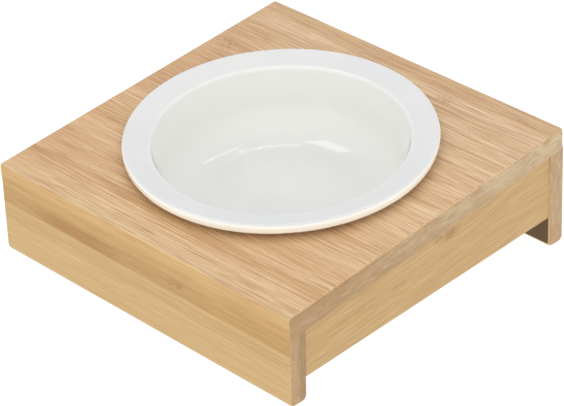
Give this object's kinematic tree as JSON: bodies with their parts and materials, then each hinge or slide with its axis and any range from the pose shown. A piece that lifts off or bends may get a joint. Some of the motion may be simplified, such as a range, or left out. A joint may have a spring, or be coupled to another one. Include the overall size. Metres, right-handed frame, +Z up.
{
  "type": "raised cat bowl",
  "caption": "Slanted bamboo stand, low in front, with a white glazed bowl that hangs by its wide rim in a round hole and lifts out.",
  "frame": {"origin": "on the ground, under the middle of the whole object's box", "axes": "+Z up, +Y towards the tall back leg, +X to the right as seen from the low front"},
  "size_m": [0.1776, 0.185, 0.0672],
  "materials": {
    "top_bamboo": "oiled satin, narrow side-pressed bamboo strips",
    "leg_bamboo": "oiled satin, wide flat-pressed bamboo strips",
    "rail_bamboo": "oiled satin, flat-pressed bamboo with a node",
    "dowel_wood": "plain, glued",
    "white_glaze": "gloss white glaze"
  },
  "bodies": {
    "stand": {"top_board": "top_bamboo", "front_leg": "leg_bamboo", "back_leg": "leg_bamboo", "left_rail": "rail_bamboo", "right_rail": "rail_bamboo", "leg_dowels": "dowel_wood", "rail_dowels": "dowel_wood"},
    "bowl": {"bowl": "white_glaze"}
  },
  "joints": [
    {"name": "bowl_lift", "type": "slide", "parent": "stand", "child": "bowl", "axis": [0, -0.088, 0.9961], "range_m": [0, 0.06]}
  ]
}
